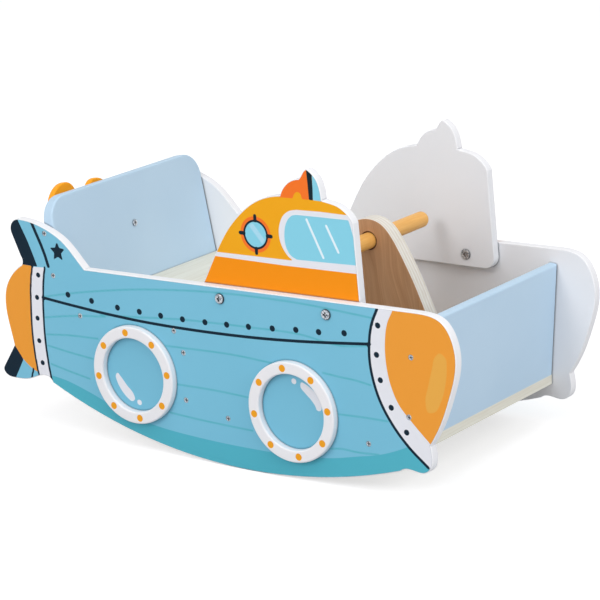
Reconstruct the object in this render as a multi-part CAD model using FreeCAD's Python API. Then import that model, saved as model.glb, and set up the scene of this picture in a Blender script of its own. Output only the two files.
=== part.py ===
import FreeCAD, Part
import math
import os

# Rocking boat toy in the shape of a submarine, for one toddler.
# Millimetres. +X points to the bow, +Y to port, +Z up. The hull is drawn about
# X zero, and at the end all parts move together, so that the origin is under
# the middle of the whole toy, level with the lowest point of the rockers.

os.makedirs("parts", exist_ok=True)
V = FreeCAD.Vector

# Boards
hull_length = 685.0
hull_width = 328.0
board = 12.0
edge_round = 1.2
panel_round = 2.4
film = 0.4
film_margin = 1.3

# Rockers and deck line of the two side panels, their ends measured in from the stern and the nose
rocker_radius = 719.0
rocker_x = 42.0
rocker_from_stern = 81.1
rocker_from_nose = 80.5
deck_aft_z = 222.4
deck_fore_z = 229.0
deck_from_stern = 145.5
deck_from_nose = 54.5
tail_rise = 53.6

# Seat, floor, riser and their screws
seat_top = 167.5
seat_from_stern = 93.5
seat_front_x = -20.9
riser_x = -48.4
floor_low = 55.5
seat_screw_inset = 40.4
riser_screw_inset = 20.0
floor_screw_aft = 57.0
floor_screw_fore = 61.0

# Backrest, measured up its own slope from the seat
backrest_from_stern = 107.9
backrest_lean = 10.4
backrest_thick = 15.0
backrest_height = 137.0
backrest_corner = 31.0
backrest_screw_low = 41.4
backrest_screw_high = 95.3
backrest_screw_in = 6.0

# Front panel, leaning forward
front_from_nose = 62.8
front_lean = 4.35
front_height = 143.0
front_screw_inset = 35.2

# Cabin boards, one inside each side panel
cabin_x = 84.0
cabin_low = 195.5
cabin_height = 183.1
cabin_corner = 15.0
cabin_heel = 8.0
cabin_bolt_x = 89.0
cabin_bolt_half = 77.1
cabin_bolt_rise = 15.6

# Steering fin and handle bar
fin_x = 124.0
fin_thick = 21.0
fin_top = 286.0
fin_side_angle = 25.6
handle_z = 259.0
handle_diameter = 20.0
handle_length = 224.0
handle_end_round = 7.0
handle_gap = 0.1
handle_hole_flare = 1.6
fin_screw_span = 90.0

# Porthole rings on the outside of each side panel
ring_inner = 47.0
ring_outer = 62.0
ring_thick = 9.0
ring_round = 2.2
ring_from_nose = 228.0
ring_fore_z = 86.3
ring_from_stern = 219.5
ring_aft_z = 98.6

# Propeller behind the backrest
propeller_up = 71.4
propeller_stand_off = 66.2
propeller_thick = 9.0
blade_count = 4
blade_reach = 52.6
blade_long = 28.5
blade_wide = 21.7
blade_turn = 90.0
blade_start = -38.5
blade_round = 2.0
hub_radius = 34.0
shaft_diameter = 22.0
spigot_diameter = 10.0
spin_gap = 0.08
end_gap = 0.4
cap_diameter = 24.0
cap_thick = 7.0

# Fasteners
screw_head = 6.6
screw_shank = 3.4
screw_length = 38.0
screw_hole_gap = 0.15
screw_cone = 2.2
bolt_head = 12.6
bolt_head_thick = 2.6
bolt_shank = 5.9
bolt_length = 21.0
nut_head = 13.2
nut_head_thick = 1.6
nut_sleeve = 8.4
nut_depth = 10.0
thread_gap = 0.05
hole_gap = 0.2
axle_screw_head = 8.0
axle_screw_shank = 4.2
axle_screw_length = 40.0
cap_screw_length = 24.0

outer_y = hull_width / 2
inner_y = outer_y - board
cabin_inner_y = inner_y - board
skin_y = outer_y + film
nose_x = hull_length / 2
stern_x = -hull_length / 2
deck_aft_x = stern_x + deck_from_stern
deck_fore_x = nose_x - deck_from_nose
seat_rear_x = stern_x + seat_from_stern
backrest_foot_x = stern_x + backrest_from_stern
front_foot_x = nose_x - front_from_nose
ring_aft_x = stern_x + ring_from_stern
ring_fore_x = nose_x - ring_from_nose
floor_top = floor_low + board
seat_low = seat_top - board
riser_front_x = riser_x + board / 2
lean = math.radians(backrest_lean)
tip = math.radians(front_lean)


def joined(solids):
    """Separate solids kept in one sub-part."""
    return Part.makeCompound(solids)


def spline(points, start=None, end=None):
    """A smooth curve through the points, with an end direction where one is given."""
    curve = Part.BSplineCurve()
    vectors = [V(x, 0, z) for x, z in points]
    if start is None and end is None:
        curve.interpolate(vectors)
        return curve.toShape()
    tangents = [V(0, 0, 0)] * len(vectors)
    flags = [False] * len(vectors)
    if start is not None:
        tangents[0] = V(start[0], 0, start[1])
        flags[0] = True
    if end is not None:
        tangents[-1] = V(end[0], 0, end[1])
        flags[-1] = True
    curve.interpolate(Points=vectors, Tangents=tangents, TangentFlags=flags)
    return curve.toShape()


def line(a, b):
    return Part.LineSegment(V(a[0], 0, a[1]), V(b[0], 0, b[1])).toShape()


def arc(a, b, c):
    return Part.Arc(V(a[0], 0, a[1]), V(b[0], 0, b[1]), V(c[0], 0, c[1])).toShape()


def rocker_z(x):
    """Height of the rocker's circle over its lowest point."""
    return rocker_radius - math.sqrt(rocker_radius ** 2 - (x - rocker_x) ** 2)


def hull_wire():
    """The side panel's outline, from the deck's aft end round the bow and the rocker."""
    def bow(back, z):
        return (nose_x - back, z)

    def stern(ahead, z):
        return (stern_x + ahead, z)

    deck_aft = (deck_aft_x, deck_aft_z)
    deck_fore = (deck_fore_x, deck_fore_z)
    pinch = bow(38.0, 72.0)
    rocker_front = bow(rocker_from_nose, rocker_z(nose_x - rocker_from_nose))
    rocker_rear = stern(rocker_from_stern, rocker_z(stern_x + rocker_from_stern))
    keel_front = bow(68.5, 38.4)
    keel_rear = stern(71.5, 74.6)
    low_fin_tip = stern(0.3, 78.0)
    low_notch = stern(20.6, 108.6)
    high_notch = stern(43.2, 216.6)
    tail_root = stern(42.0, 228.0)
    tail_tip_low = stern(29.4, 256.2)
    tail_tip_high = stern(42.5, deck_aft_z + tail_rise)
    slope = (deck_fore_z - deck_aft_z) / (deck_fore_x - deck_aft_x)
    edges = [
        line(deck_aft, deck_fore),
        spline([deck_fore, bow(15.2, 219.4), bow(0.0, 183.0), bow(8.5, 136.0), bow(26.5, 91.0), pinch], (1, slope)),
        spline([pinch, bow(35.6, 57.0), bow(38.6, 43.5), bow(47.0, 37.2), keel_front, rocker_front]),
        arc(rocker_front, (rocker_x, 0.0), rocker_rear),
        spline([rocker_rear, stern(76.0, 73.2), keel_rear, stern(44.0, 67.2), stern(19.0, 64.6),
                stern(5.0, 67.0), stern(0.0, 72.4), low_fin_tip]),
        line(low_fin_tip, low_notch),
        spline([low_notch, stern(14.6, 135.0), stern(10.8, 161.5), stern(14.2, 184.0), stern(24.0, 200.6), high_notch]),
        spline([high_notch, stern(44.4, 222.4), tail_root]),
        line(tail_root, tail_tip_low),
        arc(tail_tip_low, stern(30.2, 268.8), tail_tip_high),
        spline([tail_tip_high, (deck_aft_x - 55.0, deck_aft_z + 43.8), (deck_aft_x - 33.0, deck_aft_z + 32.2),
                (deck_aft_x - 15.5, deck_aft_z + 16.1), deck_aft], (1, 0)),
    ]
    return Part.Wire(edges)


def cabin_wire():
    """The cabin board's outline: a dome with a stepped hatch, and a square foot."""
    low = cabin_low
    top = cabin_low + cabin_height

    def at(dx, dz):
        return (cabin_x + dx, top - dz)

    left_foot = (cabin_x - 119.6 + cabin_heel, low)
    left_knee = (cabin_x - 119.6 + cabin_heel * 0.47, low + cabin_heel * 0.88)
    left_bend = (cabin_x - 119.6 + cabin_heel * 0.49, low + cabin_heel * 0.29)
    right_foot = (cabin_x + 123.8 - cabin_corner, low)
    right_knee = (cabin_x + 123.2, low + cabin_corner)
    right_bend = (cabin_x + 123.5 - cabin_corner * 0.29, low + cabin_corner * 0.29)
    waist = at(-104.0, 152.6)
    hatch_aft = at(14.5, 35.2)
    hatch_step = at(42.0, 12.8)
    hatch_fore = at(73.8, 35.0)
    brow = at(116.6, 58.6)
    edges = [
        line(left_foot, right_foot),
        arc(right_foot, right_bend, right_knee),
        line(right_knee, brow),
        spline([brow, at(112.6, 51.4), at(104.6, 44.2), at(94.6, 39.0), at(84.0, 36.8), hatch_fore]),
        spline([hatch_fore, at(70.8, 18.2), at(65.8, 8.7), at(57.5, 1.6), at(54.0, 0.0), at(50.8, 1.6), at(46.5, 7.4),
                hatch_step]),
        spline([hatch_step, at(29.6, 16.6), at(20.3, 24.6), hatch_aft]),
        spline([hatch_aft, at(-4.5, 38.8), at(-24.0, 47.1), at(-45.5, 63.4), at(-65.3, 85.0), at(-79.5, 107.0),
                at(-90.0, 126.2), waist]),
        line(waist, left_knee),
        arc(left_knee, left_bend, left_foot),
    ]
    return Part.Wire(edges)


def plate(wire, y_low, thickness):
    """A flat board: the outline in X and Z, given its thickness along Y."""
    face = Part.Face(wire)
    face.translate(V(0, y_low, 0))
    return face.extrude(V(0, thickness, 0))


def film_sheet(wire, y_face, side):
    """A thin sheet on a board's outer face, inside a plain margin all round."""
    edges = []
    for edge in Part.Face(wire).makeOffset2D(-film_margin).OuterWire.OrderedEdges:
        if isinstance(edge.Curve, Part.OffsetCurve):
            curve = Part.BSplineCurve()
            curve.interpolate(edge.discretize(Number=6 + int(edge.Length / 6)))
            edge = curve.toShape()
        edges.append(edge)
    face = Part.Face(Part.Wire(edges))
    face.translate(V(0, y_face, 0))
    return face.extrude(V(0, side * film, 0))


def rounded(shape, radius, keep):
    """The shape with a small radius on each edge that keep accepts."""
    return shape.makeFillet(radius, [edge for edge in shape.Edges if keep(edge)])


def flat_at(edge, values):
    """Whether the edge lies in one of the planes Y = value."""
    box = edge.BoundBox
    return box.YLength < 0.01 and min(abs(box.YMin - v) for v in values) < 0.01


def drill(x, z, radius, y_low, y_high):
    return Part.makeCylinder(radius, y_high - y_low, V(x, y_low, z), V(0, 1, 0))


def sink(x, z, y_face, side):
    """A countersink and its screw hole, going in from one outer face."""
    cone = Part.makeCone(screw_head / 2 + hole_gap, screw_shank / 2 + hole_gap, screw_cone + hole_gap,
                         V(x, y_face, z), V(0, -side, 0))
    hole = Part.makeCylinder(screw_shank / 2 + screw_hole_gap, screw_length, V(x, y_face, z), V(0, -side, 0))
    return cone.fuse(hole)


def cross_recess(width, length, depth, pos, direction):
    """The cross cut into a screw's head."""
    long_way = Part.makeBox(length, width, depth, V(-length / 2, -width / 2, 0))
    short_way = Part.makeBox(width, length, depth, V(-width / 2, -length / 2, 0))
    cut = long_way.fuse(short_way)
    cut.Placement = FreeCAD.Placement(pos, FreeCAD.Rotation(V(0, 0, 1), direction))
    return cut


def countersunk_screw(pos, direction, head=screw_head, shank=screw_shank, length=screw_length):
    """A wood screw whose flat head lies at pos and whose shank runs along direction."""
    cone = Part.makeCone(head / 2, shank / 2, screw_cone, pos, direction)
    rod = Part.makeCylinder(shank / 2, length - shank, pos, direction)
    point = Part.makeCone(shank / 2, 0.3, shank, pos + direction * (length - shank), direction)
    body = cone.fuse(rod).fuse(point)
    return body.cut(cross_recess(head * 0.16, head * 0.62, screw_cone * 0.55, pos, direction))


# Where the screws and bolts go, as X and Z on the outer face
def backrest_point(up, out=0.0):
    """A point of the backrest's middle plane, up its slope from the seat, and out in front of it."""
    foot_x = backrest_foot_x - backrest_thick / 2 / math.cos(lean)
    x = foot_x - up * math.sin(lean) + out * math.cos(lean)
    z = seat_top + up * math.cos(lean) + out * math.sin(lean)
    return V(x, 0, z)


def front_point(up):
    """A point of the front panel's middle plane, up its slope from the floor."""
    foot_x = front_foot_x - board / 2 / math.cos(tip)
    return V(foot_x + up * math.sin(tip), 0, floor_top + up * math.cos(tip))


def pair(a, b):
    return [(a.x, a.z), (b.x, b.z)]


seat_mid = seat_top - board / 2
floor_mid = floor_low + board / 2
screw_out = backrest_thick / 2 - backrest_screw_in
screw_rows = {
    "backrest": pair(backrest_point(backrest_screw_low, screw_out), backrest_point(backrest_screw_high, screw_out)),
    "seat": [(seat_rear_x + seat_screw_inset, seat_mid), (seat_front_x - seat_screw_inset, seat_mid)],
    "riser": [(riser_x, seat_low - riser_screw_inset), (riser_x, floor_low + riser_screw_inset)],
    "floor": [(riser_front_x + floor_screw_aft, floor_mid), (front_foot_x - floor_screw_fore, floor_mid)],
    "front_panel": pair(front_point(front_screw_inset), front_point(front_height - front_screw_inset)),
}
bolt_points = [(cabin_bolt_x + step * cabin_bolt_half, cabin_low + cabin_bolt_rise) for step in (-1, 1)]
sides = {"right": -1, "left": 1}


def side_panel(side):
    """The outer board with its rocker, drilled for every screw and bolt."""
    low = min(side * inner_y, side * outer_y)
    panel = plate(hull_wire(), low, board)
    panel = rounded(panel, edge_round, lambda e: flat_at(e, (side * inner_y, side * outer_y)))
    for row in screw_rows.values():
        for x, z in row:
            panel = panel.cut(sink(x, z, side * outer_y, side))
    for x, z in bolt_points:
        panel = panel.cut(drill(x, z, bolt_shank / 2 + hole_gap, low - 1, low + board + 1))
    return panel


def hull_print(side):
    """The printed film on the panel's outer face, inside a plain margin."""
    sheet = film_sheet(hull_wire(), side * outer_y, side)
    for row in screw_rows.values():
        for x, z in row:
            sheet = sheet.cut(drill(x, z, screw_head / 2 + hole_gap, -skin_y - 1, skin_y + 1))
    for x, z in bolt_points:
        sheet = sheet.cut(drill(x, z, bolt_head / 2 + hole_gap, -skin_y - 1, skin_y + 1))
    return sheet


def cabin_board(side):
    """The cabin's board, standing up from inside the side panel."""
    low = min(side * cabin_inner_y, side * inner_y)
    cabin = plate(cabin_wire(), low, board)
    cabin = rounded(cabin, edge_round, lambda e: flat_at(e, (side * cabin_inner_y, side * inner_y)))
    for x, z in bolt_points:
        cabin = cabin.cut(drill(x, z, nut_sleeve / 2 + hole_gap, low - 1, low + board + 1))
    return cabin


def cabin_print(side):
    """The printed film on the part of the cabin board that stands over the deck."""
    sheet = film_sheet(cabin_wire(), side * inner_y, side)
    slope = math.atan2(deck_fore_z - deck_aft_z, deck_fore_x - deck_aft_x)
    hidden = Part.makeBox(3 * hull_length, 4 * film, hull_length, V(-hull_length, -2 * film, -hull_length))
    hidden.rotate(V(0, 0, 0), V(0, 1, 0), -math.degrees(slope))
    hidden.translate(V(deck_aft_x, side * inner_y, deck_aft_z + hole_gap))
    return sheet.cut(hidden)


def porthole_ring(x, z, side):
    """A flat ring with softened edges, glued on the printed face."""
    start = V(x, side * skin_y, z)
    out = V(0, side, 0)
    ring = Part.makeCylinder(ring_outer, ring_thick, start, out)
    ring = ring.cut(Part.makeCylinder(ring_inner, ring_thick, start, out))
    return rounded(ring, ring_round, lambda e: flat_at(e, (side * (skin_y + ring_thick),)))


def cross_board(x_low, x_high, z_low, z_high):
    """A level or upright board between the two side panels."""
    return Part.makeBox(x_high - x_low, 2 * inner_y, z_high - z_low, V(x_low, -inner_y, z_low))


def pilot_holes(board_shape, row):
    """The blind screw holes in a cross board's two ends."""
    for x, z in row:
        for side in sides.values():
            hole = Part.makeCylinder(screw_shank / 2 + screw_hole_gap, screw_length + 1,
                                     V(x, side * outer_y, z), V(0, -side, 0))
            board_shape = board_shape.cut(hole)
    return board_shape


def seat_board():
    seat = cross_board(seat_rear_x, seat_front_x, seat_low, seat_top)

    def at_front(edge):
        box = edge.BoundBox
        return abs(box.XMin - seat_front_x) < 0.01 and box.ZLength < 0.01

    return pilot_holes(rounded(seat, 1.5 * edge_round, at_front), screw_rows["seat"])


def seat_riser():
    riser = cross_board(riser_x - board / 2, riser_front_x, floor_low, seat_low)
    return pilot_holes(riser, screw_rows["riser"])


def floor_board():
    floor = cross_board(riser_front_x, front_foot_x, floor_low, floor_top)
    floor = rounded(floor, edge_round, lambda e: e.BoundBox.XMin > front_foot_x - 0.01 and e.BoundBox.YLength < 0.01)
    for x in fin_screw_points():
        cone = Part.makeCone(screw_head / 2 + hole_gap, screw_shank / 2 + hole_gap, screw_cone + hole_gap,
                             V(x, 0, floor_low), V(0, 0, 1))
        floor = floor.cut(cone)
        floor = floor.cut(Part.makeCylinder(screw_shank / 2 + screw_hole_gap, 2 * board, V(x, 0, floor_low)))
    return pilot_holes(floor, screw_rows["floor"])


def leaning_board(foot_front, thickness, angle, height, foot_z):
    """A board between the side panels that stands on a level one and leans in X by an angle."""
    long_board = Part.makeBox(thickness, 2 * inner_y, height + board, V(-thickness, -inner_y, -board))
    long_board.rotate(V(0, 0, 0), V(0, 1, 0), angle)
    long_board.translate(V(foot_front, 0, foot_z))
    below = Part.makeBox(8 * board, 4 * inner_y, 4 * board, V(foot_front - 4 * board, -2 * inner_y, foot_z - 4 * board))
    return long_board.cut(below)


def front_panel():
    panel = leaning_board(front_foot_x, board, front_lean, front_height, floor_top)
    top = max(v.Z for v in panel.Vertexes) - board * math.sin(tip) - 0.1
    face_x = front_foot_x + (front_height - board) * math.sin(tip) / 2

    def soft(edge):
        box = edge.BoundBox
        at_top = box.ZMin > top and box.YLength > board
        at_end = box.YLength < 0.01 and box.ZLength > board and box.XMax > face_x
        return at_top or at_end

    panel = rounded(panel, panel_round, soft)
    return pilot_holes(panel, screw_rows["front_panel"])


def backrest():
    """The leaning back board, with large rounded top corners and a hole for the shaft's screw."""
    rest = leaning_board(backrest_foot_x, backrest_thick, -backrest_lean, backrest_height, seat_top)
    high = backrest_point(backrest_height).z
    corners = [e for e in rest.Edges if abs(e.Length - backrest_thick) < 0.01 and e.BoundBox.YLength < 0.01
               and e.BoundBox.ZMin > high - backrest_thick]
    rest = rest.makeFillet(backrest_corner, corners)
    start = backrest_point(propeller_up, backrest_thick)
    hole = Part.makeCylinder(axle_screw_shank / 2 + screw_hole_gap, 3 * backrest_thick, start, backrest_normal() * -1)
    soft = []
    for out in (-backrest_thick / 2, backrest_thick / 2):
        on_face = backrest_point(backrest_height / 2, out)
        soft += [e for e in rest.Edges if abs((e.CenterOfMass - on_face).dot(backrest_normal())) < 0.05
                 and e.BoundBox.ZMax > seat_top + 1]
    rest = rest.makeFillet(panel_round, soft)
    return pilot_holes(rest.cut(hole), screw_rows["backrest"])


def backrest_normal():
    """Out of the backrest's front face."""
    return V(math.cos(lean), 0, math.sin(lean))


def fin_screw_points():
    return [fin_x - fin_screw_span, fin_x, fin_x + fin_screw_span]


def steering_fin():
    """The upright fin between the rider's knees: a round top, then straight sides to a level foot."""
    side_angle = math.radians(fin_side_angle)
    knee = (77.6, fin_top - 104.2)
    half_top = [(66.1, fin_top - 78.4), (52.5, fin_top - 51.8), (34.8, fin_top - 22.0), (18.0, fin_top - 4.6)]
    foot_half = knee[0] + (knee[1] - floor_top) * math.tan(side_angle)
    slope = (-math.sin(side_angle), math.cos(side_angle))
    over = [knee] + half_top + [(0.0, fin_top)] + [(-x, z) for x, z in reversed([knee] + half_top)]
    feet = [(fin_x - foot_half, floor_top), (fin_x + foot_half, floor_top)]
    over = [(fin_x + x, z) for x, z in over]
    wire = Part.Wire([
        line(feet[0], feet[1]),
        line(feet[1], over[0]),
        spline(over, slope, (slope[0], -slope[1])),
        line(over[-1], feet[0]),
    ])
    fin = plate(wire, -fin_thick / 2, fin_thick)
    faces = (-fin_thick / 2, fin_thick / 2)
    fin = rounded(fin, edge_round * 0.8, lambda e: flat_at(e, faces) and e.BoundBox.ZMax > floor_top + 1)
    fin = fin.cut(drill(fin_x, handle_z, handle_diameter / 2 + handle_gap, -fin_thick, fin_thick))
    for side in sides.values():
        flare = Part.makeCone(handle_diameter / 2 + handle_gap + handle_hole_flare, handle_diameter / 2 + handle_gap,
                              handle_hole_flare, V(fin_x, side * fin_thick / 2, handle_z), V(0, -side, 0))
        fin = fin.cut(flare)
    for x in fin_screw_points():
        fin = fin.cut(Part.makeCylinder(screw_shank / 2 + screw_hole_gap, screw_length + 1, V(x, 0, floor_low)))
    return fin


def handle_bar():
    """The round bar that the rider holds, through the fin."""
    bar = Part.makeCylinder(handle_diameter / 2, handle_length, V(fin_x, -handle_length / 2, handle_z), V(0, 1, 0))
    ends = (-handle_length / 2, handle_length / 2)
    return rounded(bar, handle_end_round, lambda e: flat_at(e, ends))


def side_screws(row, side):
    return joined([countersunk_screw(V(x, side * outer_y, z), V(0, -side, 0)) for x, z in row])


def fin_screws():
    return joined([countersunk_screw(V(x, 0, floor_low), V(0, 0, 1)) for x in fin_screw_points()])


def cabin_bolt(x, z, side):
    """A bolt with a low round head and a cross recess, from outside."""
    into = V(0, -side, 0)
    crown = V(x, side * (outer_y + bolt_head_thick), z)
    head = Part.makeCylinder(bolt_head / 2, bolt_head_thick, crown, into)
    head = rounded(head, bolt_head_thick * 0.55, lambda e: flat_at(e, (crown.y,)))
    shank = Part.makeCylinder(bolt_shank / 2, bolt_length + bolt_head_thick / 2, V(x, side * (outer_y + 1), z), into)
    cut = cross_recess(bolt_head * 0.16, bolt_head * 0.5, bolt_head_thick * 0.6, crown, into)
    return head.fuse(shank).cut(cut)


def cabin_nut(x, z, side):
    """A sleeve nut whose broad head shows on the cabin board's inner face."""
    out = V(0, side, 0)
    crown = V(x, side * (cabin_inner_y - nut_head_thick), z)
    head = Part.makeCylinder(nut_head / 2, nut_head_thick, crown, out)
    head = rounded(head, nut_head_thick * 0.55, lambda e: flat_at(e, (crown.y,)))
    sleeve = Part.makeCylinder(nut_sleeve / 2, nut_depth + nut_head_thick / 2,
                               V(x, side * (cabin_inner_y - nut_head_thick / 2), z), out)
    bore = Part.makeCylinder(bolt_shank / 2 + thread_gap, nut_depth * 2, V(x, side * cabin_inner_y, z), out)
    cut = cross_recess(nut_head * 0.15, nut_head * 0.46, nut_head_thick * 0.7, crown, out)
    return head.fuse(sleeve).cut(bore).cut(cut)


# Distances behind the backrest's middle plane, along the propeller shaft
shaft_start = backrest_thick / 2
shaft_end = shaft_start + propeller_stand_off
blade_front = shaft_end + end_gap
blade_back = blade_front + propeller_thick
cap_front = blade_back + end_gap


def on_shaft(distance):
    return backrest_point(propeller_up, -distance)


def shaft_rod(diameter, near, far):
    return Part.makeCylinder(diameter / 2, far - near, on_shaft(near), backrest_normal() * -1)


def propeller_shaft():
    """A turned wooden rod with a thinner spigot, on which the propeller spins."""
    rod = shaft_rod(shaft_diameter, shaft_start, shaft_end).fuse(shaft_rod(spigot_diameter, shaft_end, cap_front))
    rod = rod.cut(shaft_rod(axle_screw_shank + 2 * screw_hole_gap, shaft_start, shaft_start + axle_screw_length))
    return rod.cut(shaft_rod(screw_shank + 2 * screw_hole_gap, cap_front - cap_screw_length, cap_front))


def propeller():
    """Rounded blades set at a slant to their radius, on a round hub."""
    disc = Part.makeCylinder(hub_radius, propeller_thick)
    for number in range(blade_count):
        angle = math.radians(blade_start + number * 360.0 / blade_count)
        slant = angle + math.radians(blade_turn)
        outline = Part.Ellipse(V(0, 0, 0), blade_long, blade_wide)
        blade = Part.Face(Part.Wire(outline.toShape())).extrude(V(0, 0, propeller_thick))
        blade.rotate(V(0, 0, 0), V(0, 0, 1), math.degrees(math.pi / 2 - slant))
        blade.translate(V(blade_reach * math.sin(angle), blade_reach * math.cos(angle), 0))
        disc = disc.fuse(blade)
    disc = disc.removeSplitter()
    rims = [e for e in disc.Edges if e.BoundBox.ZLength < 0.01]
    disc = disc.makeFillet(blade_round, rims)
    disc = disc.cut(Part.makeCylinder(spigot_diameter / 2 + spin_gap, propeller_thick))
    disc.Placement = FreeCAD.Placement(on_shaft(blade_back), shaft_turn()).multiply(disc.Placement)
    return disc


def shaft_turn():
    """Turns flat work so that its X runs to port, its Y up the backrest's slope and its Z out of it."""
    across = V(0, 1, 0)
    up = V(-math.sin(lean), 0, math.cos(lean))
    out = backrest_normal()
    grid = FreeCAD.Matrix(across.x, up.x, out.x, 0, across.y, up.y, out.y, 0, across.z, up.z, out.z, 0, 0, 0, 0, 1)
    return FreeCAD.Placement(grid).Rotation


def propeller_cap():
    """The button that keeps the propeller on its spigot."""
    cap = Part.makeCylinder(cap_diameter / 2, cap_thick)
    cap = cap.makeFillet(cap_thick * 0.45, [e for e in cap.Edges if e.BoundBox.ZMax < 0.01])
    cap.Placement = FreeCAD.Placement(on_shaft(cap_front + cap_thick), shaft_turn())
    seat = Part.makeCone(screw_head / 2 + hole_gap, screw_shank / 2 + hole_gap, screw_cone + hole_gap,
                         on_shaft(cap_front + cap_thick), backrest_normal())
    return cap.cut(seat).cut(shaft_rod(screw_shank + 2 * screw_hole_gap, cap_front, cap_front + cap_thick))


def cap_screw():
    return countersunk_screw(on_shaft(cap_front + cap_thick), backrest_normal(), length=cap_screw_length)


def shaft_screw():
    """The screw that holds the shaft, its low round head on the backrest's front face."""
    crown = backrest_point(propeller_up, backrest_thick / 2 + 1.6)
    into = backrest_normal() * -1
    head = Part.makeCylinder(axle_screw_head / 2, 1.6, crown, into)
    shank = Part.makeCylinder(axle_screw_shank / 2, axle_screw_length + 0.8, crown + into * 0.8, into)
    return head.fuse(shank).cut(cross_recess(axle_screw_head * 0.16, axle_screw_head * 0.56, 1.1, crown, into))


parts = {}
for name, sign in sides.items():
    parts["side_panel_" + name] = side_panel(sign)
    parts["hull_print_" + name] = hull_print(sign)
    parts["cabin_board_" + name] = cabin_board(sign)
    parts["cabin_print_" + name] = cabin_print(sign)
    parts["porthole_ring_front_" + name] = porthole_ring(ring_fore_x, ring_fore_z, sign)
    parts["porthole_ring_rear_" + name] = porthole_ring(ring_aft_x, ring_aft_z, sign)
    parts["cabin_bolts_" + name] = joined([cabin_bolt(x, z, sign) for x, z in bolt_points])
    parts["cabin_nuts_" + name] = joined([cabin_nut(x, z, sign) for x, z in bolt_points])
    for row_name, points in screw_rows.items():
        parts[row_name + "_screws_" + name] = side_screws(points, sign)

parts["seat_board"] = seat_board()
parts["seat_riser"] = seat_riser()
parts["floor_board"] = floor_board()
parts["front_panel"] = front_panel()
parts["backrest"] = backrest()
parts["steering_fin"] = steering_fin()
parts["handle_bar"] = handle_bar()
parts["fin_screws"] = fin_screws()
parts["propeller_shaft"] = propeller_shaft()
parts["shaft_screw"] = shaft_screw()
parts["propeller"] = propeller()
parts["propeller_cap"] = propeller_cap()
parts["cap_screw"] = cap_screw()

# The origin goes under the middle of the whole toy
boxes = [parts[node].optimalBoundingBox(False) for node in ("side_panel_right", "propeller", "propeller_cap")]
middle_x = (min(box.XMin for box in boxes) + max(box.XMax for box in boxes)) / 2
for node, shape in parts.items():
    shape.translate(V(-middle_x, 0, 0))
    shape.exportStep("parts/" + node + ".step")
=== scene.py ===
# %% [markdown]
# # A rocking boat toy
# The toy is a small wooden rocker in the shape of a submarine. Its boards come
# ready from the imported model, so this lesson is about finishes: paint, veneer,
# turned wood, steel, and a printed picture that covers the hull and the cabin.
# First the model is loaded.

import math

import bmesh
import bpy
import numpy as np
from mathutils import Matrix, Vector


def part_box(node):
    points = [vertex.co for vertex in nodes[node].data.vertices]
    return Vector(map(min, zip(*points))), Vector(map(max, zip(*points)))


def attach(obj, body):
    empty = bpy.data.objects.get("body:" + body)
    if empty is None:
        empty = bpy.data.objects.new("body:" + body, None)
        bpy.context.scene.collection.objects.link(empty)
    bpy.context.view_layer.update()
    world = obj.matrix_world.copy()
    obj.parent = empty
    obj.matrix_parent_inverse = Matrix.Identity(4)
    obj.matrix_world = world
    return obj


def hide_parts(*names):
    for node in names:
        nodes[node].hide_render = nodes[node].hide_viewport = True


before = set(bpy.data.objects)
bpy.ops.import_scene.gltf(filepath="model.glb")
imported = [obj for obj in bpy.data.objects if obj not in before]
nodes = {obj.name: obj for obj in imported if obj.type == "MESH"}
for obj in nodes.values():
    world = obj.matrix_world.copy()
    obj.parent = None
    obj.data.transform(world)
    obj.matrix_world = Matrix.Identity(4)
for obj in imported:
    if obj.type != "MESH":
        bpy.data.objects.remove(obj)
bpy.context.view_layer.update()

# %% [markdown]
# ## Where the drawing's zero is
# The print is laid out in millimetres on the side of the hull: x runs to the
# bow and z upwards. The handle bar's middle is at (124, 259) there, so its box
# in the model gives the step from one frame to the other, and the two can't
# drift apart when a board changes size.

# %% Step between the two frames
bar_drawn_x = 0.124
bar_drawn_z = 0.259
bar_low, bar_high = (np.array(corner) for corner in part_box("handle_bar"))
bar_middle = (bar_low + bar_high) / 2
drawn_zero = bar_middle - np.array([bar_drawn_x, bar_middle[1], bar_drawn_z])
print("drawing's zero", np.round(drawn_zero, 5).tolist())


def ink(red, green, blue):
    """A colour from a swatch card, 0 to 255, as the linear values that a shader takes."""
    card = np.array([red, green, blue]) / 255
    linear = np.where(card <= 0.04045, card / 12.92, ((card + 0.055) / 1.055) ** 2.4)
    return tuple(linear.tolist()) + (1.0,)


# %% [markdown]
# ## Shader sums as plain Python
# A finish is easier to read as a formula than as a chain of nodes. `Value`
# wraps one socket, and a sum on it adds the Math node for that sum. `Finish`
# is a material, and its `node` method adds any other node: first its settings,
# then the values or links of its sockets.

# %% Two small classes for shaders
class Value:
    """One output socket, so that sums on it add Math nodes."""

    def __init__(self, finish, socket):
        self.finish = finish
        self.socket = socket

    def __add__(self, other):
        return self.finish.math("ADD", self, other)

    def __radd__(self, other):
        return self.finish.math("ADD", other, self)

    def __sub__(self, other):
        return self.finish.math("SUBTRACT", self, other)

    def __rsub__(self, other):
        return self.finish.math("SUBTRACT", other, self)

    def __mul__(self, other):
        return self.finish.math("MULTIPLY", self, other)

    def __rmul__(self, other):
        return self.finish.math("MULTIPLY", other, self)

    def __truediv__(self, other):
        return self.finish.math("DIVIDE", self, other)


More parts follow.
